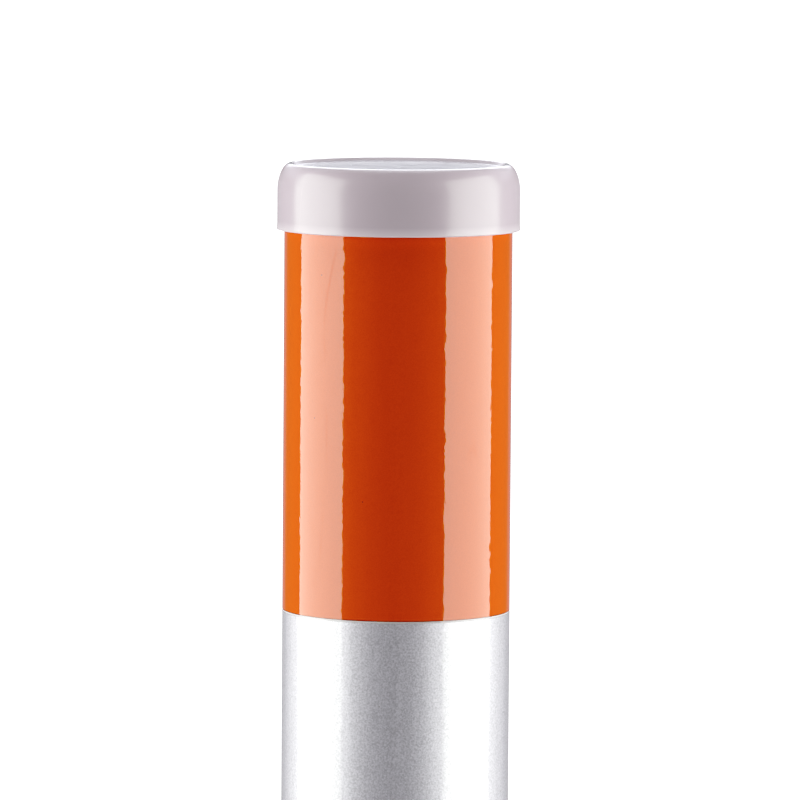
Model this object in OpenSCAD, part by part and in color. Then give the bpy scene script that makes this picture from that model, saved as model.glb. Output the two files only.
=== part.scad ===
// Bolt-down delineator post: a plastic tube wrapped in retroreflective sheeting, closed by a
// push-fit cap, and held in a welded steel base by two cross bolts.
// Millimetres, +Z up, origin at the centre of the underside of the base pad.

/* [Tube] */
// Outside diameter of the tube
tube_d = 120; // [90:1:150]
// Wall of the tube
tube_wall = 3.2; // [2.5:0.1:4.5]
// Bare tube between the socket and the lowest band of sheeting
bare_h = 23; // [10:0.2:60]

/* [Sheeting] */
// Height of one band of sheeting
band_h = 200; // [120:5:260]
// Height of the top band that shows below the cap
top_band_h = 202; // [120:0.2:260]
// Thickness of the sheeting with its adhesive
sheet_t = 0.4; // [0.3:0.05:0.6]
// Bare line left between two bands
sheet_gap = 0.8; // [0.4:0.1:2]
// Width of the lap where a band's ends meet at the back
lap_w = 12; // [6:1:20]

/* [Cap] */
// Height of the cap
cap_h = 35; // [28:1:50]
// Wall of the cap's outer skirt
skirt_wall = 3.1; // [2.4:0.1:4]
// Gap between the skirt and the lapped sheeting
skirt_play = 0.3; // [0.2:0.05:0.6]
// Thickness over the tube's end
rim_t = 6; // [5:0.5:8]
// Width of the rounded shoulder, from the crest to the skirt
shoulder_w = 6.8; // [5:0.1:7.4]
// Height of the rounded shoulder
shoulder_h = 14; // [8:0.5:18]
// Height of the flare round the skirt's lower edge
flare_h = 4; // [3:0.5:6]
// How far the skirt flares out over that height
flare_t = 0.4; // [0.2:0.1:0.8]
// Depth of the recessed top below the crest
dish_depth = 2; // [1.5:0.1:4]
// Thickness of the recess's floor
floor_t = 3; // [2:0.1:4]
// Depth of the plug ring below the crest
plug_h = 24; // [20:1:27]
// Wall of the plug ring
plug_wall = 2.5; // [2:0.1:3]
// Gap between the plug ring and the tube
plug_play = 0.1; // [0.05:0.01:0.2]
// Height of the ribs under that floor
rib_h = 6; // [4:0.5:8]
// Thickness of those ribs
rib_t = 2; // [1.5:0.1:3]
// Number of those ribs
rib_count = 6; // [3:1:8]

/* [Socket and plate] */
// Height of the socket above the plate
socket_h = 127; // [110:1:160]
// Wall of the socket
socket_wall = 4; // [3:0.5:6]
// Gap between the tube and the socket
socket_play = 0.4; // [0.2:0.1:1]
// Side of the square base plate
plate_w = 220; // [210:5:300]
// Thickness of the plate
plate_t = 8; // [6:1:12]
// Corner radius of the plate
plate_r = 15; // [5:1:25]
// Thickness of the rubber pad under the plate
pad_t = 5; // [4:1:10]
// Distance from each anchor hole's centre to the plate's two nearest edges
anchor_inset = 25; // [20:1:30]
// Diameter of an anchor hole
anchor_d = 14; // [10:1:18]
// Diameter of the drain hole under the tube
drain_d = 24; // [10:1:40]

/* [Gussets] */
// Thickness of a gusset
gusset_t = 6; // [4:1:10]
// Height of a gusset
gusset_h = 92; // [60:1:105]
// Width of a gusset's top
gusset_top = 8; // [5:1:12]
// Height of a gusset's toe
gusset_toe = 10; // [6:1:16]
// Corner cut off where a gusset passes the socket's weld
gusset_snipe = 9; // [6:1:12]
// Distance from a gusset's toe to the plate's edge
gusset_inset = 7; // [4:1:15]

/* [Cross bolts] */
// Height of the lower bolt above the plate
bolt_low_h = 42; // [35:1:55]
// Height between the two bolts
bolt_pitch = 50; // [40:1:60]
// Nominal size of the bolts
bolt_size = 10; // [8:0.5:12]
// Wall of the spacer tubes that keep the bolts from crushing the tube
spacer_wall = 2.4; // [1.5:0.1:3]

/* [Hidden] */
$fn = 96;

// Heights, from the ground up
plate_z = pad_t;
seat_z = plate_z + plate_t;
socket_top = seat_z + socket_h;
bands_z = socket_top + bare_h;
cap_z = bands_z + 3 * band_h + top_band_h;
top_z = cap_z + cap_h;
tube_top = top_z - rim_t;

// Radii, from the tube outwards and inwards
tube_ro = tube_d / 2;
tube_ri = tube_ro - tube_wall;
sheet_ro = tube_ro + sheet_t;
lap_ro = sheet_ro + sheet_t;
skirt_ri = lap_ro + skirt_play;
cap_r = skirt_ri + skirt_wall;
crest_r = cap_r - shoulder_w;
plug_ro = tube_ri - plug_play;
plug_ri = plug_ro - plug_wall;
socket_ri = tube_ro + socket_play;
socket_ro = socket_ri + socket_wall;

// Small features of the cap
groove_taper_h = 4;     // the groove for the tube narrows over this height, up to its end
groove_taper_play = 0.3;
shoulder_power = 1.9;   // 2 is an ellipse, and less is a straighter shoulder
dish_fillet = 1.2;
dish_slope = 45;         // slope of the recess's side
rim_edge_r = 0.8;
rim_land = 0.6;         // width of the crest between its two rounded edges
lead_in = 1.2;
lip_edge_r = 0.8;
dish_side_w = (dish_depth - (dish_fillet + rim_edge_r) * (1 - cos(dish_slope))) / tan(dish_slope);
dish_foot_r = crest_r - rim_land - dish_side_w - (dish_fillet + rim_edge_r) * sin(dish_slope);
gate_d = 3.2;
gate_h = 0.5;
sheet_setback = groove_taper_h + 1;     // the top band stops this far short of the tube's end

// Cross bolts, in the usual proportions of metric fasteners
shank_d = bolt_size - 0.2;
bolt_hole_d = bolt_size + 1;
hex_af = 1.6 * bolt_size;
head_h = 0.64 * bolt_size;
nut_h = 0.76 * bolt_size;
collar_h = 0.3 * bolt_size;
collar_d = 1.48 * bolt_size;
washer_d = 2 * bolt_size;
washer_t = 0.2 * bolt_size;

// Their places: the head is on the side that the angle gives, and the nut is opposite
BOLT_ANGLES = [-45, -135];
BOLT_HEIGHTS = [seat_z + bolt_low_h, seat_z + bolt_low_h + bolt_pitch];
bolt_past_nut = 3;      // least length of thread past a nut
bolt_step = 10;         // bolts come in lengths of this step
grip = 2 * (socket_ro + washer_t);
bolt_len = bolt_step * ceil((grip + nut_h + collar_h + bolt_past_nut) / bolt_step);
nut_bore_r = shank_d / 2 + 0.1;
washer_play = 0.3;
spacer_play = 0.2;
hex_chamfer = 1.2;
bolt_tip = 1;
spacer_ro = shank_d / 2 + spacer_play + spacer_wall;
spacer_half = sqrt(pow(tube_ri, 2) - pow(spacer_ro, 2)) - 0.05;
insert_wall = 0.16 * bolt_size;
insert_h = 0.22 * bolt_size;
insert_recess = 0.3;

function signed_power(v, e) = sign(v) * pow(abs(v), e);

// Points along an arc round c, with half-axes w and h, from angle a0 to a1. A power of 2 is an ellipse.
function arc(c, w, h, a0, a1, power = 2, steps = 18) = [
    for (i = [0 : steps])
        let (a = a0 + (a1 - a0) * i / steps)
        c + [w * signed_power(cos(a), 2 / power), h * signed_power(sin(a), 2 / power)]
];

module ring(ro, ri, h) {
    difference() {
        cylinder(r = ro, h = h);
        translate([0, 0, -1]) cylinder(r = ri, h = h + 2);
    }
}

// ---- Cap ----

// Half section of the cap, with its crest at height 0
module cap_section() {
    outer = concat(
        arc([crest_r, -shoulder_h], shoulder_w, shoulder_h, 90, 0, shoulder_power),
        [[cap_r, flare_h - cap_h]],
        arc([cap_r + flare_t - lip_edge_r, lip_edge_r - cap_h], lip_edge_r, lip_edge_r, 0, -90, steps = 6),
        [[skirt_ri + lip_edge_r, -cap_h], [skirt_ri, lip_edge_r - cap_h]]
    );
    groove_and_plug = [
        [skirt_ri, -rim_t - groove_taper_h], [tube_ro + groove_taper_play, -rim_t], [plug_ro, -rim_t],
        [plug_ro, lead_in - plug_h], [plug_ro - lead_in / 2, -plug_h], [plug_ri, -plug_h],
        [plug_ri, -dish_depth - floor_t], [0, -dish_depth - floor_t]
    ];
    dish = concat(
        [[0, -dish_depth]],
        arc([dish_foot_r, dish_fillet - dish_depth], dish_fillet, dish_fillet, -90, dish_slope - 90, steps = 6),
        arc([crest_r - rim_land, -rim_edge_r], rim_edge_r, rim_edge_r, 90 + dish_slope, 90, steps = 6)
    );
    polygon(concat(outer, groove_and_plug, dish));
}

module cap_ribs() {
    for (i = [0 : rib_count - 1])
        rotate(i * 360 / rib_count)
            translate([0, -rib_t / 2, -dish_depth - floor_t - rib_h])
                cube([plug_ri + plug_wall / 2, rib_t, rib_h + floor_t / 2]);
}

module top_cap() {
    color([0.93, 0.92, 0.93]) translate([0, 0, top_z]) {
        rotate_extrude() cap_section();
        cap_ribs();
        translate([0, 0, -dish_depth - floor_t / 2]) cylinder(d = gate_d, h = floor_t / 2 + gate_h);
    }
}

// ---- Tube and sheeting ----

// A round bar of diameter d through the axis, along cross bolt i
module bolt_bar(i, d) {
    translate([0, 0, BOLT_HEIGHTS[i]]) rotate([0, 90, BOLT_ANGLES[i]])
        cylinder(d = d, h = 4 * tube_d, center = true);
}

module post_tube() {
    color([0.95, 0.95, 0.95]) difference() {
        translate([0, 0, seat_z]) ring(tube_ro, tube_ri, tube_top - seat_z);
        for (i = [0, 1]) bolt_bar(i, bolt_hole_d);
    }
}

// One band of sheeting, counted up from the socket, with its ends lapped at the back
module sheeting(index, tint) {
    bottom = bands_z + index * band_h + sheet_gap / 2;
    top = index == 3 ? tube_top - sheet_setback : bands_z + (index + 1) * band_h - sheet_gap / 2;
    lap_angle = lap_w / tube_ro * 180 / PI;
    color(tint) translate([0, 0, bottom]) {
        ring(sheet_ro, tube_ro, top - bottom);
        rotate(90 - lap_angle / 2) rotate_extrude(angle = lap_angle)
            translate([sheet_ro - sheet_t / 2, 0]) square([sheet_t * 1.5, top - bottom]);
    }
}

ORANGE = [0.93, 0.30, 0.06];
SILVER = [0.74, 0.74, 0.77];

// ---- Base ----

// The plate's outline, with its anchor holes and drain hole
module plate_outline() {
    corner = plate_w / 2 - plate_r;
    difference() {
        union() {
            square([plate_w, 2 * corner], center = true);
            square([2 * corner, plate_w], center = true);
            for (x = [-corner, corner], y = [-corner, corner]) translate([x, y]) circle(plate_r);
        }
        for (x = [-1, 1], y = [-1, 1])
            translate([x, y] * (plate_w / 2 - anchor_inset)) circle(d = anchor_d);
        circle(d = drain_d);
    }
}

module base_pad() {
    color([0.12, 0.12, 0.12]) linear_extrude(pad_t) plate_outline();
}

module base_plate() {
    color([0.66, 0.68, 0.69]) translate([0, 0, plate_z]) linear_extrude(plate_t) plate_outline();
}

module post_socket() {
    color([0.66, 0.68, 0.69]) difference() {
        translate([0, 0, seat_z]) ring(socket_ro, socket_ri, socket_h);
        for (i = [0, 1]) bolt_bar(i, bolt_hole_d);
    }
}

// A gusset that stands on the plate against the socket, out along the given angle
module gusset(angle) {
    reach = plate_w / 2 - gusset_inset;
    color([0.66, 0.68, 0.69]) translate([0, 0, seat_z]) rotate([90, 0, angle])
        linear_extrude(gusset_t, center = true) polygon([
            [socket_ro, gusset_snipe], [socket_ro + gusset_snipe, 0],
            [reach, 0], [reach, gusset_toe],
            [socket_ro + gusset_top, gusset_h], [socket_ro, gusset_h]
        ]);
}

// ---- Cross bolts ----

// Puts children on cross bolt i, with X along the bolt towards its head
module on_bolt(i) {
    translate([0, 0, BOLT_HEIGHTS[i]]) rotate(BOLT_ANGLES[i]) children();
}

// A hexagon of height h along X, with its corners chamfered on the side away from the tube
module hexagon(h) {
    corner_r = hex_af / 2 / cos(30);
    rotate([0, 90, 0]) intersection() {
        cylinder(r = corner_r, h = h, $fn = 6);
        cylinder(r1 = corner_r + 2 * h - hex_chamfer, r2 = corner_r - hex_chamfer, h = h);
    }
}

module cross_bolt(i) {
    tip = grip / 2 - bolt_len;
    color([0.78, 0.78, 0.76]) on_bolt(i) {
        translate([grip / 2, 0, 0]) hexagon(head_h);
        translate([tip + bolt_tip, 0, 0]) rotate([0, 90, 0]) cylinder(d = shank_d, h = bolt_len);
        translate([tip, 0, 0]) rotate([0, 90, 0])
            cylinder(d1 = shank_d - 2 * bolt_tip, d2 = shank_d, h = bolt_tip);
    }
}

// side is 1 under the bolt's head and -1 under the nut
module washer(i, side) {
    color([0.8, 0.8, 0.78]) on_bolt(i)
        translate([side > 0 ? socket_ro : -socket_ro - washer_t, 0, 0]) rotate([0, 90, 0])
            ring(washer_d / 2, shank_d / 2 + washer_play, washer_t);
}

module spacer_tube(i) {
    color([0.72, 0.72, 0.72]) on_bolt(i) translate([-spacer_half, 0, 0]) rotate([0, 90, 0])
        ring(spacer_ro, shank_d / 2 + spacer_play, 2 * spacer_half);
}

module lock_nut(i) {
    color([0.8, 0.8, 0.76]) on_bolt(i) rotate(180) translate([grip / 2, 0, 0]) difference() {
        union() {
            hexagon(nut_h);
            rotate([0, 90, 0]) cylinder(d = collar_d, h = nut_h + collar_h);
        }
        translate([-1, 0, 0]) rotate([0, 90, 0]) cylinder(r = nut_bore_r, h = nut_h + collar_h + 2);
        translate([nut_h + collar_h - insert_h, 0, 0]) rotate([0, 90, 0])
            cylinder(r = nut_bore_r + insert_wall, h = insert_h + 1);
    }
}

// The nylon ring that is rolled into the end of each lock nut
module lock_nut_inserts() {
    color([0.15, 0.35, 0.75]) for (i = [0, 1])
        on_bolt(i) rotate(180) translate([grip / 2 + nut_h + collar_h - insert_h, 0, 0])
            rotate([0, 90, 0]) ring(nut_bore_r + insert_wall, nut_bore_r, insert_h - insert_recess);
}

top_cap();
post_tube();
sheeting(3, ORANGE);  // sheeting_orange_upper
sheeting(2, SILVER);  // sheeting_silver_upper
sheeting(1, ORANGE);  // sheeting_orange_lower
sheeting(0, SILVER);  // sheeting_silver_lower
base_pad();
base_plate();
post_socket();
gusset(-90);  // gusset_front
gusset(0);  // gusset_right
gusset(90);  // gusset_back
gusset(180);  // gusset_left
cross_bolt(0);  // cross_bolt_lower
cross_bolt(1);  // cross_bolt_upper
spacer_tube(0);  // spacer_tube_lower
spacer_tube(1);  // spacer_tube_upper
washer(0, 1);  // head_washer_lower
washer(1, 1);  // head_washer_upper
washer(0, -1);  // nut_washer_lower
washer(1, -1);  // nut_washer_upper
lock_nut(0);  // lock_nut_lower
lock_nut(1);  // lock_nut_upper
lock_nut_inserts();
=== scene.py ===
import math

import bmesh
import bpy
from mathutils import Matrix, Vector
from mathutils.geometry import tessellate_polygon


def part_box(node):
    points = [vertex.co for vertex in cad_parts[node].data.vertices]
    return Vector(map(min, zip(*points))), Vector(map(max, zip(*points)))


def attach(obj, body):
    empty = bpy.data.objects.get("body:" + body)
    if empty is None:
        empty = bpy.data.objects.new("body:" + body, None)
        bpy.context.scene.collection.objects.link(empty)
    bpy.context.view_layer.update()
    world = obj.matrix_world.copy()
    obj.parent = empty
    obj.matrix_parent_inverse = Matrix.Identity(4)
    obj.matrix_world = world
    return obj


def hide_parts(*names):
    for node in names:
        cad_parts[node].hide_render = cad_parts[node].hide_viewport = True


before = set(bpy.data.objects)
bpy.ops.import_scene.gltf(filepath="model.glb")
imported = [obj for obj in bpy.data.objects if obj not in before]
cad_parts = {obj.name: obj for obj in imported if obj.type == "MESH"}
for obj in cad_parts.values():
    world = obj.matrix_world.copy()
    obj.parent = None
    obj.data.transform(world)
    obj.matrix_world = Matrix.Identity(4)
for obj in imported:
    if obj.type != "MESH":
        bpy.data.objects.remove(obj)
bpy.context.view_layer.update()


# ---- Base pad ----
# A square of black rubber sheet that beds the steel on an uneven road. It is cut from the roll with the
# same outline and holes as the plate, so its edges are only slightly rounded.

pad_low, pad_high = (corner.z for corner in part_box("base_pad"))
base_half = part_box("base_pad")[1].x
base_corner = 0.015
anchor_inset = 0.025
anchor_reach = base_half - anchor_inset
anchor_r = 0.007
drain_r = 0.012
pad_edge = 0.0004


def square_loop(half, corner, inset, steps=12):
    """The outline of a square with rounded corners, drawn in by inset."""
    points = []
    radius = corner - inset
    for quarter in range(4):
        cx = (half - corner) * (1 if quarter in (0, 3) else -1)
        cy = (half - corner) * (1 if quarter in (0, 1) else -1)
        for step in range(steps + 1):
            angle = (quarter + step / steps) * math.pi / 2
            points.append((cx + radius * math.cos(angle), cy + radius * math.sin(angle)))
    return points


def hole_loop(x, y, radius, inset, count=64):
    """The outline of a round hole, opened out by inset."""
    angles = [step * math.tau / count for step in range(count)]
    return [(x + (radius + inset) * math.cos(a), y + (radius + inset) * math.sin(a)) for a in angles]


def base_loops():
    """The outline that the pad and the plate share: a square with four anchor holes and a drain hole."""
    loops = [lambda inset: square_loop(base_half, base_corner, inset)]
    for x in (-anchor_reach, anchor_reach):
        for y in (-anchor_reach, anchor_reach):
            loops.append(lambda inset, x=x, y=y: hole_loop(x, y, anchor_r, inset))
    loops.append(lambda inset: hole_loop(0, 0, drain_r, inset))
    return loops


def make_piece(name, vertices, faces, bevel=0, crease=35):
    """A closed mesh object. Edges of more than crease degrees stay sharp, or are rounded by bevel."""
    shape = bmesh.new()
    points = [shape.verts.new(v) for v in vertices]
    for face in faces:
        shape.faces.new([points[k] for k in face])
    bmesh.ops.remove_doubles(shape, verts=shape.verts, dist=1e-6)
    bmesh.ops.recalc_face_normals(shape, faces=shape.faces)
    if bevel:
        sharp = [e for e in shape.edges if e.calc_face_angle(0) > math.radians(crease)]
        bmesh.ops.bevel(shape, geom=sharp, offset=bevel, segments=3, profile=0.5, affect="EDGES")
    for face in shape.faces:
        face.smooth = True
    for edge in shape.edges:
        edge.smooth = edge.calc_face_angle(math.pi) < math.radians(crease)
    mesh = bpy.data.meshes.new(name)
    shape.to_mesh(mesh)
    shape.free()
    piece = bpy.data.objects.new(name, mesh)
    bpy.context.scene.collection.objects.link(piece)
    even = piece.modifiers.new("even_shading", "WEIGHTED_NORMAL")
    even.keep_sharp = True
    return piece


def flat_part(name, loops, low, high, edge, steps=4):
    """A flat part between two heights, with rounded edges. Its loops are its outline and its holes."""
    lower = []
    for step in range(steps, -1, -1):
        angle = step * math.pi / 2 / steps
        lower.append((low + edge * (1 - math.sin(angle)), edge * (1 - math.cos(angle))))
    rows = lower + [(low + high - z, inset) for z, inset in reversed(lower)]
    vertices, faces, bottom, top = [], [], [], []
    for loop in loops:
        start, count = len(vertices), len(loop(0))
        for z, inset in rows:
            vertices += [(x, y, z) for x, y in loop(inset)]
        for row in range(len(rows) - 1):
            for k in range(count):
                a, b = start + row * count + k, start + row * count + (k + 1) % count
                faces.append((a, b, b + count, a + count))
        bottom += range(start, start + count)
        top += range(len(vertices) - count, len(vertices))
    flats = [[Vector((x, y, 0)) for x, y in loop(edge)] for loop in loops]
    for triangle in tessellate_polygon(flats):
        faces.append([bottom[k] for k in triangle])
        faces.append([top[k] for k in triangle])
    return make_piece(name, vertices, faces)


def node(tree, kind, inputs=None, **settings):
    """A shader node with its settings. Each input is given a value, or the socket that feeds it."""
    made = tree.nodes.new("ShaderNode" + kind)
    for key, value in settings.items():
        setattr(made, key, value)
    for socket, value in (inputs or {}).items():
        feed(tree, made, socket, value)
    return made


def feed(tree, made, socket, value):
    """Sets one input of a node, or joins a socket to it."""
    if isinstance(value, bpy.types.NodeSocket):
        tree.links.new(value, made.inputs[socket])
    else:
        made.inputs[socket].default_value = value


def maths(tree, operation, a, b=0.0, c=0.0, clamp=False):
    """The value of a small sum."""
    return node(tree, "Math", {0: a, 1: b, 2: c}, operation=operation, use_clamp=clamp).outputs[0]


def mixed(tree, share, a, b):
    """The colour that share takes from a to b."""
    made = node(tree, "Mix", data_type="RGBA")
    for socket, value in ((0, share), (6, a), (7, b)):
        feed(tree, made, socket, value)
    return made.outputs[2]


def between(tree, value, low, high, to_low, to_high, smooth=False):
    """Value taken from one range to another, and kept inside it."""
    style = "SMOOTHSTEP" if smooth else "LINEAR"
    sockets = {"Value": value, "From Min": low, "From Max": high, "To Min": to_low, "To Max": to_high}
    return node(tree, "MapRange", sockets, interpolation_type=style).outputs["Result"]


def place(tree):
    """A point's place on the post, in metres."""
    return node(tree, "TexCoord").outputs["Object"]


def noise(tree, vector, scale, detail=2.0, roughness=0.5):
    """A cloudy value with that many clouds to the metre."""
    sockets = {"Vector": vector, "Scale": scale, "Detail": detail, "Roughness": roughness}
    return node(tree, "TexNoise", sockets).outputs["Fac"]


def new_effect(name, inputs, outputs):
    """A node group: the group, its inputs' sockets by name, and its output node."""
    made = bpy.data.node_groups.new(name, "ShaderNodeTree")
    for socket, value in inputs.items():
        kind = "NodeSocketColor" if isinstance(value, tuple) else "NodeSocketFloat"
        made.interface.new_socket(socket, in_out="INPUT", socket_type=kind).default_value = value
    for socket, kind in outputs.items():
        made.interface.new_socket(socket, in_out="OUTPUT", socket_type="NodeSocket" + kind)
    entry = made.nodes.new("NodeGroupInput")
    return made, entry.outputs, made.nodes.new("NodeGroupOutput")


def effect(tree, group, **inputs):
    """Places an effect in a material and gives its outputs."""
    placed = tree.nodes.new("ShaderNodeGroup")
    placed.node_tree = group
    for name, value in inputs.items():
        feed(tree, placed, name, value)
    return placed.outputs


def new_finish(name, **sockets):
    """A material with plain values on its surface shader: the material, its tree and that shader."""
    made = bpy.data.materials.new(name)
    made.use_nodes = True
    tree = made.node_tree
    tree.nodes.clear()
    plain_values = {key.replace("_", " "): value for key, value in sockets.items()}
    surface = node(tree, "BsdfPrincipled", plain_values)
    node(tree, "OutputMaterial", {"Surface": surface.outputs["BSDF"]})
    return made, tree, surface


def relief(tree, surface, height, depth, socket="Normal"):
    """Gives a surface a relief whose height of 1 is depth metres."""
    bump = node(tree, "Bump", {"Height": height, "Distance": depth, "Strength": 1.0})
    feed(tree, surface, socket, bump.outputs["Normal"])


def dress(piece, finish, slot, *nodes, body="post"):
    """Gives a piece its material and its body, and hides the plain parts that it stands for. slot is not
    used.
    """
    piece.data.materials.clear()
    piece.data.materials.append(finish)
    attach(piece, body)
    if nodes:
        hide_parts(*nodes)


def paint_part(name, finish):
    """Gives a part that is shown as designed its material."""
    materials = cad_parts[name].data.materials
    materials.clear()
    materials.append(finish)


# Road dust, which lies in patches, thickest near the ground and on upward faces.
dust_colour = (0.33, 0.29, 0.24, 1)
dust_on_ledges = 0.35
road_dust, given, result = new_effect(
    "road_dust",
    {"Colour": (0.5, 0.5, 0.5, 1), "Amount": 0.5, "Reach": 0.2},
    {"Colour": "Color", "Mask": "Float"},
)
spot = place(road_dust)
spot_height = node(road_dust, "SeparateXYZ", {"Vector": spot}).outputs["Z"]
height_share = maths(road_dust, "DIVIDE", spot_height, given["Reach"])
nearness = maths(road_dust, "SUBTRACT", 1.0, height_share, clamp=True)
facing = node(road_dust, "NewGeometry").outputs["Normal"]
slope = node(road_dust, "SeparateXYZ", {"Vector": facing}).outputs["Z"]
settled = maths(road_dust, "MULTIPLY_ADD", slope, dust_on_ledges, nearness, clamp=True)
patches = between(road_dust, noise(road_dust, spot, 45.0, 6.0, 0.65), 0.38, 0.7, 0.0, 1.0)
patchy = maths(road_dust, "MULTIPLY", settled, patches)
cover = maths(road_dust, "MULTIPLY", patchy, given["Amount"], clamp=True)
feed(road_dust, result, "Colour", mixed(road_dust, cover, given["Colour"], dust_colour))
feed(road_dust, result, "Mask", cover)

# Black rubber with fine crumb in its moulded skin.
rubber, tree, surface = new_finish("black_rubber", Roughness=0.8, IOR=1.5, Specular_IOR_Level=0.35)
crumb = noise(tree, place(tree), 900.0, 3.0, 0.6)
shade = mixed(tree, crumb, (0.012, 0.012, 0.013, 1), (0.04, 0.04, 0.042, 1))
dust = effect(tree, road_dust, Colour=shade, Amount=0.55, Reach=0.02)
feed(tree, surface, "Base Color", dust["Colour"])
feed(tree, surface, "Roughness", between(tree, crumb, 0.3, 0.7, 0.62, 0.88))
relief(tree, surface, crumb, 0.00025)

pad = flat_part("rubber_pad", base_loops(), pad_low, pad_high, pad_edge)
dress(pad, rubber, "pad_rubber", "base_pad")


# ---- Steel base ----
# A flame-cut plate, a length of pipe for a socket and four gussets, welded together and then hot-dip
# galvanised, so the zinc's spangle runs over the welds too.

plate_low, plate_high = (corner.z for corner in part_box("base_plate"))
socket_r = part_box("post_socket")[1].x
gusset_low, gusset_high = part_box("gusset_right")
gusset_top = 0.008
gusset_toe = 0.010
gusset_snipe = 0.009
plate_edge = 0.0008
gusset_edge = 0.0006
weld_r = 0.0035
weld_ripple = 0.0026
weld_swell = 0.09
weld_end = 0.35
weld_step = 0.0007
gusset_weld_r = 0.003
weld_end_gap = 0.002
weld_top_gap = 0.003

# The zinc's crystals: flat patches of slightly different grey, each with its own gloss.
zinc_spangle, given, result = new_effect(
    "zinc_spangle", {"Crystal": 90.0}, {"Tone": "Float", "Gloss": "Float", "Height": "Float"}
)
spot = place(zinc_spangle)
wander = node(zinc_spangle, "TexNoise", {"Vector": spot, "Scale": 60.0, "Detail": 3.0}).outputs["Color"]
shifted = node(zinc_spangle, "VectorMath", {0: wander, "Scale": 0.012}, operation="SCALE").outputs[0]
bent = node(zinc_spangle, "VectorMath", {0: spot, 1: shifted}, operation="ADD").outputs[0]
crystals = node(
    zinc_spangle, "TexVoronoi", {"Vector": bent, "Scale": given["Crystal"], "Randomness": 1.0}
)
tone = node(zinc_spangle, "SeparateColor", {"Color": crystals.outputs["Color"]}).outputs
feed(zinc_spangle, result, "Tone", tone["Red"])
feed(zinc_spangle, result, "Gloss", tone["Green"])
feed(zinc_spangle, result, "Height", noise(zinc_spangle, spot, 240.0, 4.0, 0.55))

# Zinc that has weathered to a pale chalky bloom in places.
galvanised, tree, surface = new_finish("galvanised_steel", Metallic=0.85, Roughness=0.45, IOR=1.5)
spangle = effect(tree, zinc_spangle, Crystal=95.0)
zinc = mixed(tree, spangle["Tone"], (0.42, 0.44, 0.45, 1), (0.60, 0.62, 0.63, 1))
chalky = between(tree, noise(tree, place(tree), 22.0, 5.0, 0.6), 0.5, 0.72, 0.0, 0.6)
weathered = mixed(tree, chalky, zinc, (0.66, 0.67, 0.67, 1))
dust = effect(tree, road_dust, Colour=weathered, Amount=0.6, Reach=0.05)
feed(tree, surface, "Base Color", dust["Colour"])
feed(tree, surface, "Metallic", between(tree, dust["Mask"], 0.0, 0.6, 0.85, 0.1))
feed(tree, surface, "Roughness", between(tree, spangle["Gloss"], 0.0, 1.0, 0.36, 0.54))
relief(tree, surface, spangle["Height"], 0.00025)

plate = flat_part("steel_plate", base_loops(), plate_low, plate_high, plate_edge)
dress(plate, galvanised, "galvanised_steel", "base_plate")
paint_part("post_socket", galvanised)


def turned_to(angle):
    """The turn that takes +X to an angle round the post, in degrees."""
    return Matrix.Rotation(math.radians(angle), 4, "Z")


def gusset_plate(name, angle):
    """A gusset with flame-cut edges, out along an angle."""
    low, high, half = gusset_low, gusset_high, gusset_high.y
    outline = [
        (socket_r, low.z + gusset_snipe), (socket_r + gusset_snipe, low.z),
        (high.x, low.z), (high.x, low.z + gusset_toe),
        (socket_r + gusset_top, high.z), (socket_r, high.z),
    ]
    count = len(outline)
    vertices = [turned_to(angle) @ Vector((x, y, z)) for y in (-half, half) for x, z in outline]
    faces = [range(count), range(count, 2 * count)]
    faces += [(k, (k + 1) % count, (k + 1) % count + count, k + count) for k in range(count)]
    return make_piece(name, vertices, faces, bevel=gusset_edge)


def weld_bead(name, path, closed=False, radius=weld_r, around=12):
    """A weld along a path, with the ripples that the pool leaves as it freezes."""
    vertices, faces = [], []
    count = len(path)
    step = (path[1] - path[0]).length
    for k, point in enumerate(path):
        ahead = path[(k + 1) % count] if closed or k < count - 1 else point
        behind = path[k - 1] if closed or k > 0 else point
        along = (ahead - behind).normalized()
        side = along.cross(Vector((0, 0, 1)))
        side = Vector((1, 0, 0)) if side.length < 0.1 else side.normalized()
        over = along.cross(side).normalized()
        swell = radius * (1 + weld_swell * abs(math.sin(math.pi * k * step / weld_ripple)))
        if not closed and k in (0, count - 1):
            swell = radius * weld_end
        for turn in range(around):
            angle = turn * math.tau / around
            vertices.append(point + swell * (math.cos(angle) * side + math.sin(angle) * over))
    for k in range(count if closed else count - 1):
        for turn in range(around):
            a, b = k * around + turn, k * around + (turn + 1) % around
            c, d = (b + around) % len(vertices), (a + around) % len(vertices)
            faces.append((a, b, c, d))
    if not closed:
        faces += [range(around), range(len(vertices) - around, len(vertices))]
    return make_piece(name, vertices, faces, crease=60)


def straight_path(start, finish):
    """Points along a straight weld, close enough for its ripples."""
    count = max(3, round((finish - start).length / weld_step))
    return [start.lerp(finish, k / count) for k in range(count + 1)]


weld_sunk = 0.0012
ring_points = 576
ring_r = socket_r + weld_sunk
ring = [
    Vector((ring_r * math.cos(a), ring_r * math.sin(a), plate_high + weld_sunk))
    for a in (k * math.tau / ring_points for k in range(ring_points))
]
dress(weld_bead("weld_socket", ring, closed=True), galvanised, "galvanised_steel")

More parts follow.
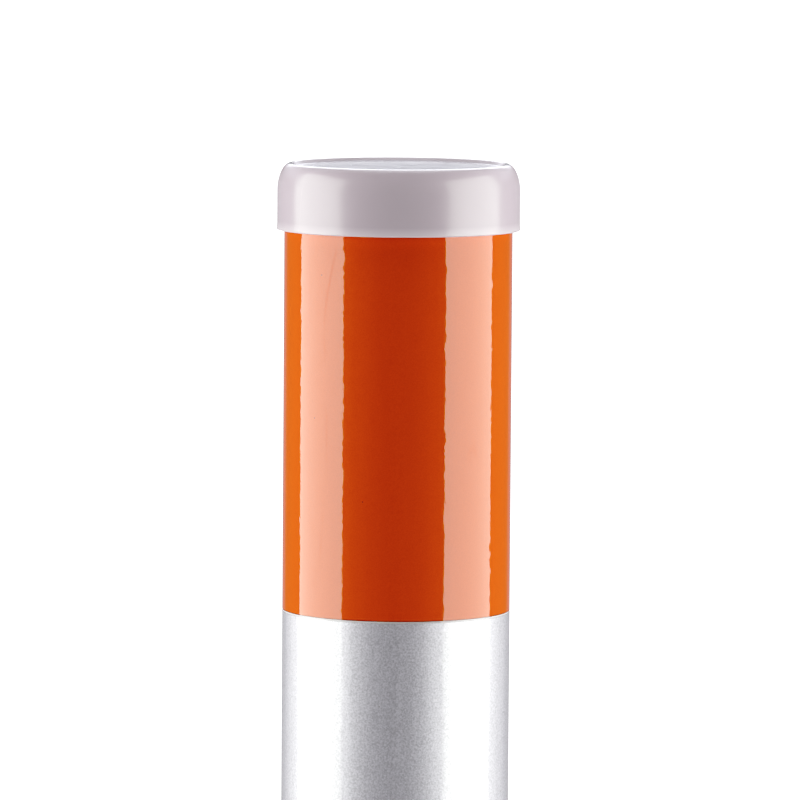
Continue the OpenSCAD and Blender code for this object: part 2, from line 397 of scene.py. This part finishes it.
for side_name, angle in (("front", -90), ("right", 0), ("back", 90), ("left", 180)):
    gusset = gusset_plate("gusset_plate_" + side_name, angle)
    dress(gusset, galvanised, "galvanised_steel", "gusset_" + side_name)
    for hand, y in (("a", gusset_high.y), ("b", -gusset_high.y)):
        foot_start = Vector((socket_r + gusset_snipe + weld_end_gap, y, plate_high))
        foot_end = Vector((gusset_high.x - weld_end_gap, y, plate_high))
        rise_start = Vector((socket_r, y, gusset_low.z + gusset_snipe + weld_end_gap))
        rise_end = Vector((socket_r, y, gusset_high.z - weld_top_gap))
        for seam, start, finish in (("foot", foot_start, foot_end), ("rise", rise_start, rise_end)):
            path = [turned_to(angle) @ point for point in straight_path(start, finish)]
            bead = weld_bead(f"weld_{side_name}_{seam}_{hand}", path, radius=gusset_weld_r)
            dress(bead, galvanised, "galvanised_steel")


# ---- Tube ----
# White rigid PVC pipe. The die leaves faint lines along it. Only its foot, the thin lines between the
# bands of sheeting and, with the cap off, its upper end show.

tube_r = round(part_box("post_tube")[1].x, 4)

pvc, tree, surface = new_finish("white_pvc", Roughness=0.3, IOR=1.53)
spot = place(tree)
stretched = node(tree, "Mapping", {"Vector": spot, "Scale": (1.0, 1.0, 0.01)}).outputs["Vector"]
die_lines = noise(tree, stretched, 420.0, 3.0, 0.6)
white = mixed(tree, noise(tree, spot, 9.0, 4.0), (0.86, 0.86, 0.85, 1), (0.90, 0.90, 0.89, 1))
dust = effect(tree, road_dust, Colour=white, Amount=0.45, Reach=0.26)
feed(tree, surface, "Base Color", dust["Colour"])
feed(tree, surface, "Roughness", between(tree, die_lines, 0.3, 0.7, 0.26, 0.40))
relief(tree, surface, die_lines, 0.00006)
paint_part("post_tube", pvc)


# ---- Cross bolts ----
# Two M10 set screws through the socket and the tube, square to each other, with a washer under each head
# and each nut, a lock nut with a nylon ring, and a spacer tube that keeps the pipe from being crushed.

bolt_size = 0.010
bolt_length = 0.150
thread_length = 0.030
thread_pitch = 0.0015
thread_depth = 0.0008
thread_lead = 0.0006
thread_steps = 8
thread_play = 0.0001
shank_r = bolt_size / 2 - thread_play
tip_r = shank_r - 0.0013
tip_chamfer = 0.0005
hex_half = 0.8 * bolt_size
head_circle = 0.95
face_circle = 0.94
face_step = 0.0003
head_h = 0.64 * bolt_size
nut_h = 0.76 * bolt_size
collar_h = 0.3 * bolt_size
collar_r = 0.74 * bolt_size
washer_r = bolt_size
washer_t = 0.2 * bolt_size
washer_play = 0.0003
washer_edge = 0.00025
nut_bore_r = shank_r + thread_play
nut_countersink = 0.0004
nut_chamfer = 0.0002
insert_r = nut_bore_r + 0.16 * bolt_size
insert_h = 0.22 * bolt_size
nylon_fit = 0.00002
nylon_corner = 0.0004
nylon_sunk = 0.0003
bearing = socket_r + washer_t
bolt_angles = {"lower": -45, "upper": -135}

# Bright zinc plating with a faint yellow bloom.
zinc_plate, tree, surface = new_finish("zinc_plating", Metallic=1.0, Roughness=0.28, IOR=1.5)
bloom = noise(tree, place(tree), 160.0, 5.0, 0.6)
plated = mixed(tree, bloom, (0.50, 0.52, 0.54, 1), (0.74, 0.73, 0.68, 1))
dust = effect(tree, road_dust, Colour=plated, Amount=0.35, Reach=0.12)
feed(tree, surface, "Base Color", dust["Colour"])
feed(tree, surface, "Metallic", between(tree, dust["Mask"], 0.0, 0.6, 1.0, 0.2))
feed(tree, surface, "Roughness", between(tree, bloom, 0.3, 0.7, 0.2, 0.38))
relief(tree, surface, noise(tree, place(tree), 1400.0, 2.0), 0.00004)

# The nylon of the nuts' rings is dyed blue.
nylon, tree, surface = new_finish("blue_nylon", Roughness=0.45, IOR=1.53, Subsurface_Weight=0.1)
tint = mixed(tree, noise(tree, place(tree), 500.0), (0.03, 0.13, 0.45, 1), (0.05, 0.19, 0.60, 1))
feed(tree, surface, "Base Color", tint)


def round_part(name, rows, count=96, closed=False, frame_to=Matrix.Identity(4), crease=30):
    """A part turned round its axis. A row is a radius and a height, or gives them for an angle."""
    vertices, faces = [], []
    for row in rows:
        for k in range(count):
            angle = k * math.tau / count
            radius, height = row(angle) if callable(row) else row
            point = Vector((radius * math.cos(angle), radius * math.sin(angle), height))
            vertices.append(frame_to @ point)
    on_axis = [not callable(row) and abs(row[0]) < 1e-9 for row in rows]
    last = len(rows) if closed else len(rows) - 1
    for row in range(last):
        for k in range(count):
            a, b = row * count + k, row * count + (k + 1) % count
            c, d = (b + count) % len(vertices), (a + count) % len(vertices)
            if on_axis[row]:
                faces.append((a, c, d))
            elif on_axis[(row + 1) % len(rows)]:
                faces.append((a, b, c))
            else:
                faces.append((a, b, c, d))
    return make_piece(name, vertices, faces, crease=crease)


def hexagon_r(angle):
    """The radius of the hexagon across its flats, at an angle."""
    return hex_half / math.cos(angle % (math.pi / 3) - math.pi / 6)


def chamfered(base, away, circle=head_circle):
    """A hexagon's row where a 30 degree chamfer cuts its corners. away is 1 or -1, out of its face."""
    def row(angle):
        drop = max(0.0, hexagon_r(angle) - circle * hex_half) * math.tan(math.radians(30))
        return hexagon_r(angle), base - away * drop
    return row


def thread_row(height):
    """A row across the thread, which rises one pitch in a turn."""
    def row(angle):
        phase = (height / thread_pitch + angle / math.tau) % 1
        return shank_r - thread_depth * abs(2 * phase - 1), height
    return row


def along_bolt(level, turn=0):
    """From a part's own axis to the axis of a cross bolt, with Z towards the bolt's head."""
    low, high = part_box("cross_bolt_" + level)
    to_height = Matrix.Translation((0, 0, (low.z + high.z) / 2))
    return to_height @ turned_to(bolt_angles[level] + turn) @ Matrix.Rotation(math.pi / 2, 4, "Y")


head_top = bearing + head_h
tip = bearing - bolt_length
bolt_rows = [
    (0.0, head_top), (head_circle * hex_half, head_top), chamfered(head_top, 1),
    lambda angle: (hexagon_r(angle), bearing + face_step), (face_circle * hex_half, bearing + face_step),
    (face_circle * hex_half, bearing), (shank_r, bearing), (shank_r, tip + thread_length),
]
thread_top = tip + thread_length - thread_lead
thread_count = round((thread_length - 2 * thread_lead) / thread_pitch * thread_steps)
bolt_rows += [thread_row(thread_top - k * thread_pitch / thread_steps) for k in range(thread_count)]
bolt_rows += [(shank_r - thread_depth, tip + tip_chamfer), (tip_r, tip), (0.0, tip)]

# The collar above the nut's hexagon is rolled over the nylon: each step is back from its side and down
# from its end.
collar_roll = ((0.0, 0.0007), (0.0003, 0.0002), (0.0009, 0.0))
nut_end = bearing + (nut_h + collar_h)
insert_low = nut_end - insert_h
nut_rows = [
    (nut_bore_r + nut_countersink, bearing), (face_circle * hex_half, bearing),
    chamfered(bearing + nut_chamfer, -1), chamfered(bearing + nut_h, 1, face_circle),
    (collar_r, bearing + nut_h),
]
nut_rows += [(collar_r - back, nut_end - down) for back, down in collar_roll]
nut_rows += [
    (insert_r, nut_end - nut_chamfer), (insert_r, insert_low),
    (nut_bore_r, insert_low), (nut_bore_r, bearing + nut_countersink),
]
washer_ri = shank_r + washer_play
washer_rows = [
    (washer_ri, socket_r + washer_edge), (washer_ri + washer_edge, socket_r),
    (washer_r - washer_edge, socket_r), (washer_r, socket_r + washer_edge),
    (washer_r, bearing - washer_edge), (washer_r - washer_edge, bearing),
    (washer_ri + washer_edge, bearing), (washer_ri, bearing - washer_edge),
]
nylon_ro = insert_r - nylon_fit
nylon_top = insert_low + insert_h
insert_rows = [
    (nut_bore_r, insert_low), (nylon_ro, insert_low), (nylon_ro, nylon_top - 2 * nylon_sunk),
    (insert_r - nylon_corner, nylon_top - nylon_sunk), (nut_bore_r + nylon_sunk, nylon_top - nylon_sunk),
    (nut_bore_r, nylon_top - 2 * nylon_sunk),
]
nylon_rings = []
for level in bolt_angles:
    head_side, nut_side = along_bolt(level), along_bolt(level, 180)
    bolt = round_part("set_screw_" + level, bolt_rows, frame_to=head_side)
    dress(bolt, zinc_plate, "zinc_fastener", "cross_bolt_" + level)
    nut = round_part("nylon_lock_nut_" + level, nut_rows, closed=True, frame_to=nut_side)
    dress(nut, zinc_plate, "zinc_fastener", "lock_nut_" + level)
    for end_name, side in (("head", head_side), ("nut", nut_side)):
        washer = round_part(f"plain_washer_{end_name}_{level}", washer_rows, closed=True, frame_to=side)
        dress(washer, zinc_plate, "zinc_fastener", f"{end_name}_washer_{level}")
    nylon_rings.append(round_part("nylon_ring_" + level, insert_rows, closed=True, frame_to=nut_side))
    dress(nylon_rings[-1], nylon, "insert_nylon")
    paint_part("spacer_tube_" + level, zinc_plate)
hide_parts("lock_nut_inserts")


# ---- Sheeting ----
# Retroreflective film with glass beads under a clear glossy face. Each band goes once round the tube and
# its end is lapped over its start at the back, where the step of one thickness shows.

film_t = 0.0004
film_lap = 0.012
film_ramp = 0.006
film_edge = 0.00008
film_steps = 320
film_gap = 0.0008
joint_pitch = 0.2
# Painted shade darkens the films' cut edges at the joints between bands: these set its reach, its width
# and its colour.
shaded_pitches = 3.5
first_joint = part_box("sheeting_silver_lower")[0].z - film_gap / 2
shade_solid = 0.0003
shade_faded = 0.0007
joint_shade_colour = (0.12, 0.05, 0.03, 1)
nick_colour = (0.10, 0.05, 0.03, 1)


def wrapped_film(name, low, high):
    """A band of film wound once round the tube, whose end climbs over its start."""
    start = math.pi / 2 - film_lap / 2 / tube_r
    sweep = math.tau + film_lap / tube_r
    climb_from = math.tau - film_ramp / tube_r
    vertices, faces = [], []
    for k in range(film_steps + 1):
        turned = k / film_steps * sweep
        climb = min(1.0, max(0.0, (turned - climb_from) * tube_r / film_ramp))
        inner = tube_r + film_t * climb * climb * (3 - 2 * climb)
        outer = inner + film_t
        section = [
            (inner, low), (outer - film_edge, low), (outer, low + film_edge),
            (outer, high - film_edge), (outer - film_edge, high), (inner, high),
        ]
        angle = start + turned
        vertices += [(r * math.cos(angle), r * math.sin(angle), z) for r, z in section]
    count = len(section)
    for k in range(film_steps):
        for j in range(count):
            a, b = k * count + j, k * count + (j + 1) % count
            faces.append((a, b, b + count, a + count))
    faces += [range(count), range(film_steps * count, (film_steps + 1) * count)]
    return make_piece(name, vertices, faces)


# Hairline scratches: thin lines where a slow, stretched noise crosses its middle.
hairlines, given, result = new_effect("hairlines", {"Density": 30.0, "Width": 0.006}, {"Mask": "Float"})
spot = place(hairlines)
lean_sockets = {"Vector": spot, "Rotation": (0.5, 0.35, 0.2), "Scale": (1.0, 1.0, 0.12)}
leaning = node(hairlines, "Mapping", lean_sockets).outputs["Vector"]
drift = noise(hairlines, leaning, given["Density"], 2.0, 0.4)
off_middle = maths(hairlines, "ABSOLUTE", maths(hairlines, "SUBTRACT", drift, 0.5))
width_share = maths(hairlines, "DIVIDE", off_middle, given["Width"])
thin = maths(hairlines, "SUBTRACT", 1.0, width_share, clamp=True)
worn = between(hairlines, noise(hairlines, spot, 30.0, 3.0), 0.5, 0.62, 0.0, 1.0)
feed(hairlines, result, "Mask", maths(hairlines, "MULTIPLY", thin, worn))

# The film's beads: a fine sparkle of light and dark grains.
bead_grain, given, result = new_effect(
    "bead_grain", {"Grain": 1500.0}, {"Sparkle": "Float", "Height": "Float"}
)
spot = place(bead_grain)
fine = noise(bead_grain, spot, given["Grain"], 1.0, 0.7)
feed(bead_grain, result, "Sparkle", between(bead_grain, fine, 0.3, 0.7, 0.0, 1.0))
feed(bead_grain, result, "Height", fine)


def film_finish(name, dark, bright, grain, ripple, ripple_depth, edge_shade, **sockets):
    """
    Beaded film under a clear coat. dark and bright are the colours of its grains, and grain is how many
    there are to the metre. ripple and ripple_depth are the coat's slow waves, by number to the metre and
    height in metres. edge_shade is how far the painted shade along its cut edges hides its colour.
    """
    made, tree, surface = new_finish(
        name, IOR=1.5, Coat_Weight=1.0, Coat_Roughness=0.03, Coat_IOR=1.5, **sockets
    )
    # The grains, with faint streaks down the post from the film's own coating.
    beads = effect(tree, bead_grain, Grain=grain)
    down_post = {"Vector": place(tree), "Scale": (1.0, 1.0, 0.03)}
    streaked = node(tree, "Mapping", down_post).outputs["Vector"]
    streak = between(tree, noise(tree, streaked, 85.0, 2.0), 0.35, 0.65, 0.0, 0.25)
    grained = mixed(tree, maths(tree, "MULTIPLY_ADD", beads["Sparkle"], 0.75, streak), dark, bright)
    # Small dark nicks where grit has struck it.
    near_nick = node(tree, "TexVoronoi", {"Vector": place(tree), "Scale": 70.0}).outputs["Distance"]
    grained = mixed(tree, between(tree, near_nick, 0.018, 0.036, 0.75, 0.0), grained, nick_colour)
    # Painted shade along the films' cut edges at the joints between the bands, for the lowest few joints.
    # The top edge is under the cap and gets none.
    height = node(tree, "SeparateXYZ", {"Vector": place(tree)}).outputs["Z"]
    above_joint = maths(tree, "SUBTRACT", height, first_joint)
    from_joint = maths(tree, "PINGPONG", above_joint, joint_pitch / 2)
    shade_ends = (film_gap / 2 + shade_solid, film_gap / 2 + shade_faded)
    at_edge = between(tree, from_joint, *shade_ends, edge_shade, 0.0)
    clear_of_cap = maths(tree, "LESS_THAN", height, first_joint + shaded_pitches * joint_pitch)
    edged = mixed(tree, maths(tree, "MULTIPLY", at_edge, clear_of_cap), grained, joint_shade_colour)
    dust = effect(tree, road_dust, Colour=edged, Amount=0.12, Reach=0.4)
    feed(tree, surface, "Base Color", dust["Colour"])
    # Scratches dull the coat, and the slow waves in it bend the edges of what it mirrors.
    scratch = effect(tree, hairlines, Density=26.0, Width=0.006)["Mask"]
    feed(tree, surface, "Coat Weight", between(tree, scratch, 0.0, 1.0, 1.0, 0.72))
    relief(tree, surface, beads["Height"], 0.00005)
    waves = noise(tree, place(tree), ripple, 1.5, 0.45)
    relief(tree, surface, waves, ripple_depth, socket="Coat Normal")
    return made


orange_film = film_finish(
    "orange_sheeting", dark=(0.77, 0.121, 0.014, 1), bright=(0.85, 0.137, 0.018, 1),
    grain=1500.0, ripple=300.0, ripple_depth=0.00005, edge_shade=0.75,
    Roughness=0.6, Specular_IOR_Level=0.0,
)
silver_film = film_finish(
    "silver_sheeting", dark=(0.42, 0.405, 0.455, 1), bright=(0.78, 0.76, 0.83, 1),
    grain=1050.0, ripple=480.0, ripple_depth=0.00009, edge_shade=0.1,
    Roughness=0.5, Metallic=0.3, Sheen_Weight=0.15, Sheen_Roughness=0.4,
)
film_colours = {"orange": (orange_film, "orange_sheeting"), "silver": (silver_film, "silver_sheeting")}
for colour, (film, film_slot) in film_colours.items():
    for level in ("lower", "upper"):
        part = f"sheeting_{colour}_{level}"
        low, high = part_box(part)
        dress(wrapped_film(f"film_{colour}_{level}", low.z, high.z), film, film_slot, part)


# ---- Cap ----
# A white injection-moulded cap. Its skirt goes over the tube and the film, and its ribbed plug ring goes
# inside the tube. The top is a shallow recess with the mark of the gate in its middle.

cap_low, cap_top = (corner.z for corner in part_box("top_cap"))
cap_h = cap_top - cap_low
flare_t = 0.0004
flare_h = 0.004
cap_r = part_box("top_cap")[1].x - flare_t
skirt_wall = 0.0031
skirt_ri = cap_r - skirt_wall
lip_edge = 0.0008
shoulder_w = 0.0068
shoulder_h = 0.014
shoulder_power = 1.9
crest_r = cap_r - shoulder_w
rim_edge = 0.0008
rim_land = 0.0006
dish_depth = 0.002
dish_fillet = 0.0012
dish_slope = 45
floor_t = 0.003
rim_t = 0.006
groove_taper = 0.004
groove_play = 0.0003
plug_h = 0.024
plug_inset = 0.0033
plug_wall = 0.0025
plug_ro = tube_r - plug_inset
plug_ri = plug_ro - plug_wall
lead_in = 0.0012
rib_h = 0.006
rib_t = 0.002
rib_count = 6
rib_root = 0.001
gate_r = 0.0016
gate_h = 0.00015
gate_draft = 0.0004
bend_steps = 8
shoulder_steps = 48


def arc(centre, width, height, first, last, steps, power=2):
    """Points along an arc. A power of 2 is an ellipse, and less is a straighter curve."""
    points = []
    for k in range(steps + 1):
        angle = math.radians(first + (last - first) * k / steps)
        across, up = math.cos(angle), math.sin(angle)
        points.append((
            centre[0] + width * math.copysign(abs(across) ** (2 / power), across),
            centre[1] + height * math.copysign(abs(up) ** (2 / power), up),
        ))
    return points


cap_section = [
    (0.0, gate_h - dish_depth), (gate_r - gate_draft, gate_h - dish_depth), (gate_r, -dish_depth),
]
slope_turn = math.radians(dish_slope)
rounded = dish_fillet + rim_edge
run = (dish_depth - rounded * (1 - math.cos(slope_turn))) / math.tan(slope_turn)
dish_foot_r = crest_r - rim_land - run - rounded * math.sin(slope_turn)
dish_foot = (dish_foot_r, dish_fillet - dish_depth)
cap_section += arc(dish_foot, dish_fillet, dish_fillet, -90, dish_slope - 90, bend_steps)
cap_section += arc((crest_r - rim_land, -rim_edge), rim_edge, rim_edge, 90 + dish_slope, 90, bend_steps)
cap_section += arc((crest_r, -shoulder_h), shoulder_w, shoulder_h, 90, 0, shoulder_steps, shoulder_power)
cap_section += [
    (cap_r + flare_t * share ** 2, flare_h - cap_h - share * (flare_h - lip_edge))
    for share in (0.0, 0.2, 0.4, 0.6, 0.8)
]
lip_centre = (cap_r + flare_t - lip_edge, lip_edge - cap_h)
cap_section += arc(lip_centre, lip_edge, lip_edge, 0, -90, bend_steps)
cap_section += [
    (skirt_ri + lip_edge, -cap_h), (skirt_ri, lip_edge - cap_h), (skirt_ri, -rim_t - groove_taper),
    (tube_r + groove_play, -rim_t), (plug_ro, -rim_t), (plug_ro, lead_in - plug_h),
    (plug_ro - lead_in / 2, -plug_h), (plug_ri, -plug_h), (plug_ri, -dish_depth - floor_t),
    (0.0, -dish_depth - floor_t),
]
at_top = Matrix.Translation((0, 0, cap_top))
cap = round_part("moulded_cap", cap_section, count=288, frame_to=at_top, crease=28)

# The ribs run into the plug ring and the underside by half of rib_root.
ribs = bmesh.new()
ribs.from_mesh(cap.data)
rib_reach = plug_ri + rib_root
rib_middle = Vector((rib_reach / 2, 0, -dish_depth - floor_t - rib_h / 2 + rib_root / 2))
rib_size = Matrix.Diagonal((rib_reach, rib_t, rib_h + rib_root, 1))
for k in range(rib_count):
    to_place = at_top @ turned_to(k * 360 / rib_count) @ Matrix.Translation(rib_middle) @ rib_size
    bmesh.ops.create_cube(ribs, size=1, matrix=to_place)
ribs.to_mesh(cap.data)
ribs.free()

# Glossy white plastic. The recess is painted cooler in tone, a painted reflection of the cool light
# behind; the crest is painted brighter, a painted highlight, and has a glossier coat; the thin lower lip
# is painted paler, painted light.
crest_inner = 0.0016
crest_outer = 0.0020
crest_full = 0.0006
lip_glow_h = 0.005
recess_fade = 0.002
cap_white, tree, surface = new_finish(
    "cap_plastic", IOR=1.5, Specular_IOR_Level=0.38, Coat_IOR=1.5, Coat_Roughness=0.12
)
spot = place(tree)
tint = mixed(tree, noise(tree, spot, 14.0, 4.0), (0.64, 0.552, 0.602, 1), (0.69, 0.597, 0.648, 1))
axes = node(tree, "SeparateXYZ", {"Vector": spot}).outputs
y_squared = maths(tree, "MULTIPLY", axes["Y"], axes["Y"])
from_axis = maths(tree, "SQRT", maths(tree, "MULTIPLY_ADD", axes["X"], axes["X"], y_squared))
# Painted reflection: the recess floor is painted a cooler, bluer white than the rest of the cap.
in_recess = between(tree, from_axis, dish_foot_r, dish_foot_r + recess_fade, 1.0, 0.0, smooth=True)
tint = mixed(tree, in_recess, tint, (0.64, 0.615, 0.67, 1))
# Painted highlight: a narrow ring along the crest is painted near white, and the same ring gets the
# glossy coat.
inner_side = between(tree, from_axis, crest_r - crest_inner, crest_r - crest_full, 0.0, 1.0)
outer_side = between(tree, from_axis, crest_r + crest_full, crest_r + crest_outer, 1.0, 0.0)
at_crest = maths(tree, "MULTIPLY", inner_side, outer_side)
tint = mixed(tree, at_crest, tint, (0.95, 0.91, 0.95, 1))
feed(tree, surface, "Coat Weight", at_crest)
# Painted light: the lowest part of the skirt, lip_glow_h high, is painted paler.
at_lip = between(tree, axes["Z"], cap_low, cap_low + lip_glow_h, 1.0, 0.0)
tint = mixed(tree, at_lip, tint, (0.88, 0.79, 0.83, 1))
dust = effect(tree, road_dust, Colour=tint, Amount=0.12, Reach=0.1)
feed(tree, surface, "Base Color", dust["Colour"])
scratch = effect(tree, hairlines, Density=38.0, Width=0.004)["Mask"]
handled = between(tree, noise(tree, spot, 70.0, 5.0, 0.6), 0.3, 0.7, 0.19, 0.24)
feed(tree, surface, "Roughness", maths(tree, "MULTIPLY_ADD", scratch, 0.12, handled))
sink = noise(tree, spot, 55.0, 2.0, 0.5)
relief(tree, surface, sink, 0.00012)
dress(cap, cap_white, "cap_plastic", "top_cap", body="cap")


# ---- Studio ----
# A pale floor that fades into a white ground, a tall soft box on each side, a bright panel high at the
# back and a soft light overhead. The room in front of the post is dark, which keeps its middle deep.

camera_distance = 3.896
camera_height = 1.2257
camera_data = bpy.data.cameras.new("camera")
camera_data.sensor_width = 36
camera_data.lens = 332.5
camera_data.clip_start = 0.1
camera_data.clip_end = 200
camera = bpy.data.objects.new("camera", camera_data)
bpy.context.scene.collection.objects.link(camera)
look_right, look_down, lean = (math.radians(a) for a in (0.0208, 5.1505, 0.3952))
camera.matrix_world = (
    Matrix.Translation((0, -camera_distance, camera_height))
    @ Matrix.Rotation(-look_right, 4, "Z")
    @ Matrix.Rotation(math.pi / 2 - look_down, 4, "X")
    @ Matrix.Rotation(lean, 4, "Z")
)
bpy.context.scene.camera = camera

# The tone curve takes each light level to the one that is printed: it deepens the darks and holds the
# brightest parts back a little.
printed_levels = ((0.02, 0.007), (0.06, 0.022), (0.13, 0.130), (0.3, 0.32), (0.6, 0.61), (0.8, 0.77))
colour_view = bpy.context.scene.view_settings
colour_view.view_transform = "Standard"
colour_view.use_curve_mapping = True
tone_curve = colour_view.curve_mapping.curves[3]
for light_level, printed in printed_levels:
    tone_curve.points.new(light_level, printed)
tone_curve.points[len(tone_curve.points) - 1].location = (1.0, 0.90)
colour_view.curve_mapping.update()

floor_r = 1.4
floor_fade = 0.35
floor_points = 128
floor_turns = [k * math.tau / floor_points for k in range(floor_points)]
floor_outline = [(floor_r * math.cos(a), floor_r * math.sin(a), 0) for a in floor_turns]
floor_mesh = bpy.data.meshes.new("floor")
floor_mesh.from_pydata(floor_outline, [], [tuple(range(floor_points))])
floor = bpy.data.objects.new("floor", floor_mesh)
bpy.context.scene.collection.objects.link(floor)
floor_white, tree, surface = new_finish(
    "pale_floor", Base_Color=(0.86, 0.86, 0.86, 1), Roughness=0.6
)
from_middle = node(tree, "VectorMath", {0: place(tree)}, operation="LENGTH").outputs["Value"]
solid_floor = between(tree, from_middle, floor_fade, floor_r - 0.02, 1.0, 0.0, smooth=True)
feed(tree, surface, "Alpha", solid_floor)
floor.data.materials.append(floor_white)

# The ground is plain white to look at. Gloss mirrors a dark room with a panel high at its back and a grey
# band low behind, and everything else gets a little light from above.
ground_white = (2, 2, 2, 1)
world = bpy.data.worlds.new("studio")
bpy.context.scene.world = world
world.use_nodes = True
world.cycles.sampling_method = "NONE"
tree = world.node_tree
tree.nodes.clear()
rays = node(tree, "LightPath").outputs
towards = node(tree, "SeparateXYZ", {"Vector": node(tree, "TexCoord").outputs["Generated"]}).outputs
raised = between(tree, towards["Z"], 0.12, 0.3, 0.0, 1.0, smooth=True)
overhead_or_behind = maths(tree, "MULTIPLY_ADD", towards["Z"], 0.6, towards["Y"])
rearward = between(tree, overhead_or_behind, 0.45, 0.6, 0.0, 1.0, smooth=True)
front_to_back = between(tree, towards["Y"], -0.3, 0.5, 0.0, 1.0)
dark_room = mixed(tree, front_to_back, (0.03, 0.03, 0.033, 1), (0.15, 0.15, 0.16, 1))
panel_height = between(tree, towards["Z"], 0.45, 0.85, 0.0, 1.0, smooth=True)
panel_light = mixed(tree, panel_height, (4.4, 4.5, 4.9, 1), (3.3, 3.35, 3.6, 1))
aside = maths(tree, "ABSOLUTE", towards["X"])
narrow = between(tree, aside, 0.18, 0.40, 1.0, 0.22, smooth=True)
panel = maths(tree, "MULTIPLY", maths(tree, "MULTIPLY", raised, rearward), narrow)
mirrored = mixed(tree, panel, dark_room, panel_light)
low_down = between(tree, towards["Z"], 0.0, 0.04, 1.0, 0.0)
far_back = between(tree, towards["Y"], 0.80, 0.98, 0.0, 1.0, smooth=True)
low_behind = maths(tree, "MULTIPLY", low_down, far_back)
mirrored = mixed(tree, low_behind, mirrored, (0.36, 0.36, 0.38, 1))
upward = between(tree, towards["Z"], -0.1, 0.9, 0.0, 1.0, smooth=True)
ambient = mixed(tree, upward, (0.0, 0.0, 0.0, 1), (0.04, 0.04, 0.045, 1))
soft_fill = mixed(tree, rays["Is Glossy Ray"], ambient, mirrored)
seen = mixed(tree, rays["Is Camera Ray"], soft_fill, ground_white)
background = node(tree, "Background", {"Color": seen, "Strength": 1.0})
node(tree, "OutputWorld", {"Surface": background.outputs["Background"]})


def soft_box(name, azimuth, distance, spread, low, high, radiance, glossy):
    """A soft box that faces the post. azimuth and spread are in degrees, from the front to the right."""
    width = 2 * distance * math.tan(math.radians(spread / 2))
    data = bpy.data.lights.new(name, "AREA")
    data.shape = "RECTANGLE"
    data.size = width
    data.size_y = high - low
    data.energy = radiance * math.pi * width * (high - low)
    data.color = (0.99, 1.04, 0.94) if glossy else (1, 1, 1)
    light = bpy.data.objects.new(name, data)
    bpy.context.scene.collection.objects.link(light)
    turn = math.radians(azimuth)
    light.location = (distance * math.sin(turn), -distance * math.cos(turn), (low + high) / 2)
    light.rotation_euler = (math.pi / 2, 0, turn)
    light.visible_camera = False
    light.visible_glossy = glossy
    light.visible_diffuse = not glossy


# Each side has two boxes: one is only mirrored in the gloss, and a nearer one only lights the colours.
for_gloss = {"distance": 1.6, "low": 0.0, "high": 2.1, "glossy": True}
for_colour = {"distance": 1.45, "low": 0.3, "high": 1.5, "glossy": False}
soft_box("left_glow", azimuth=-84.5, spread=58, radiance=5.8, **for_gloss)
soft_box("right_glow", azimuth=78.3, spread=60, radiance=5.4, **for_gloss)
soft_box("left_light", azimuth=-81.0, spread=60, radiance=4.5, **for_colour)
soft_box("right_light", azimuth=81.0, spread=60, radiance=4.5, **for_colour)

overhead_width = 1.6
overhead_depth = 0.8
overhead_radiance = 2.7
overhead_data = bpy.data.lights.new("overhead", "AREA")
overhead_data.shape = "RECTANGLE"
overhead_data.size = overhead_width
overhead_data.size_y = overhead_depth
overhead_data.energy = overhead_radiance * math.pi * overhead_width * overhead_depth
overhead = bpy.data.objects.new("overhead", overhead_data)
bpy.context.scene.collection.objects.link(overhead)
overhead.location = (0, -0.3, 2.6)
overhead.visible_camera = False
overhead.visible_glossy = False
